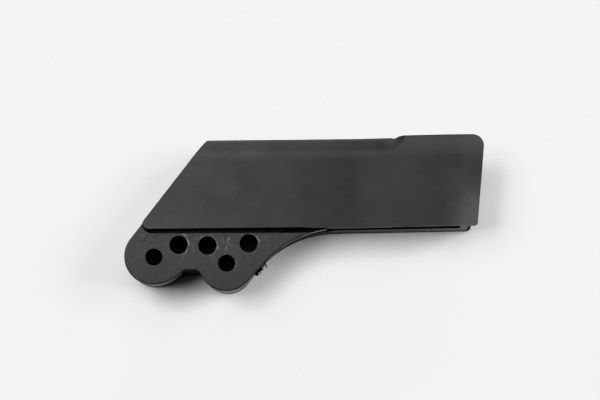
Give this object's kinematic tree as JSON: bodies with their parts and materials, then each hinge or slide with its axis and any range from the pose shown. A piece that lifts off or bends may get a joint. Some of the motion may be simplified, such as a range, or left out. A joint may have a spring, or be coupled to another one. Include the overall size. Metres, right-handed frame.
{
  "type": "motorcycle chain guide",
  "caption": "Black plastic motorcycle chain guide: a folded shell with a flared mouth, bolted over a lobed block with through bores and a long tongue.",
  "frame": {"origin": "bottom centre of the bounding box; the guide lies on the outer face of its back wall", "axes": "+X along the chain channel from the slanted end to the flared mouth, +Y from the lobes to the folded edge, +Z from the back wall to the front wall"},
  "size_m": [0.1442, 0.0616, 0.0326],
  "materials": {
    "sheet_plastic": "satin as-made sheet",
    "block_plastic": "satin machined, with cutter marks"
  },
  "bodies": {
    "root": {"guide_shell": "sheet_plastic", "mounting_block": "block_plastic"}
  },
  "joints": []
}
